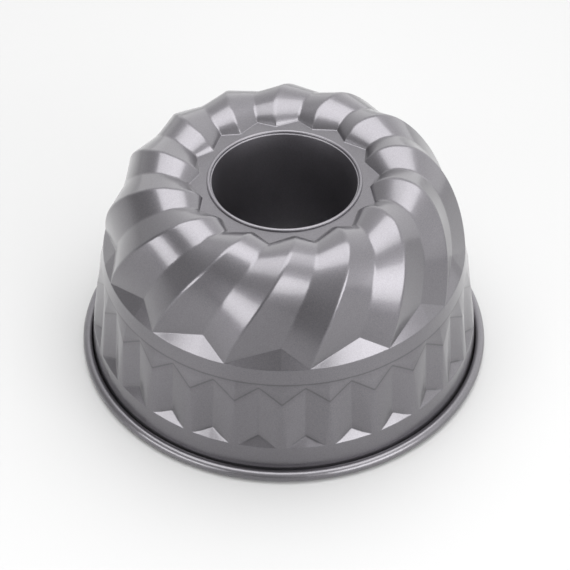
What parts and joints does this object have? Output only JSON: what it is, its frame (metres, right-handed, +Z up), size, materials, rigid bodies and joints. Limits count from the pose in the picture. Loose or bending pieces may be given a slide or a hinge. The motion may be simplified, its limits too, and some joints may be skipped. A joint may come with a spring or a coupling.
{
  "type": "fluted tube cake pan",
  "caption": "Round fluted ring mould with a conical centre tube, a twisted dome, a wall of upright prisms and a rolled rim, standing dome up.",
  "frame": {"origin": "centre of the circle that the rolled rim stands on", "axes": "+Z up along the axis of the tube, from the rim to the crown; -Y towards the picture's camera, +X to its right"},
  "size_m": [0.22, 0.22, 0.1185],
  "materials": {
    "shell_coating": "satin grey non-stick coating with fine metallic grain",
    "tube_coating": "satin grey non-stick coating with fine metallic grain",
    "wire_steel": "drawn steel wire, bare"
  },
  "bodies": {
    "root": {"mould_shell": "shell_coating", "centre_tube": "tube_coating", "rim_wire": "wire_steel"}
  },
  "joints": []
}
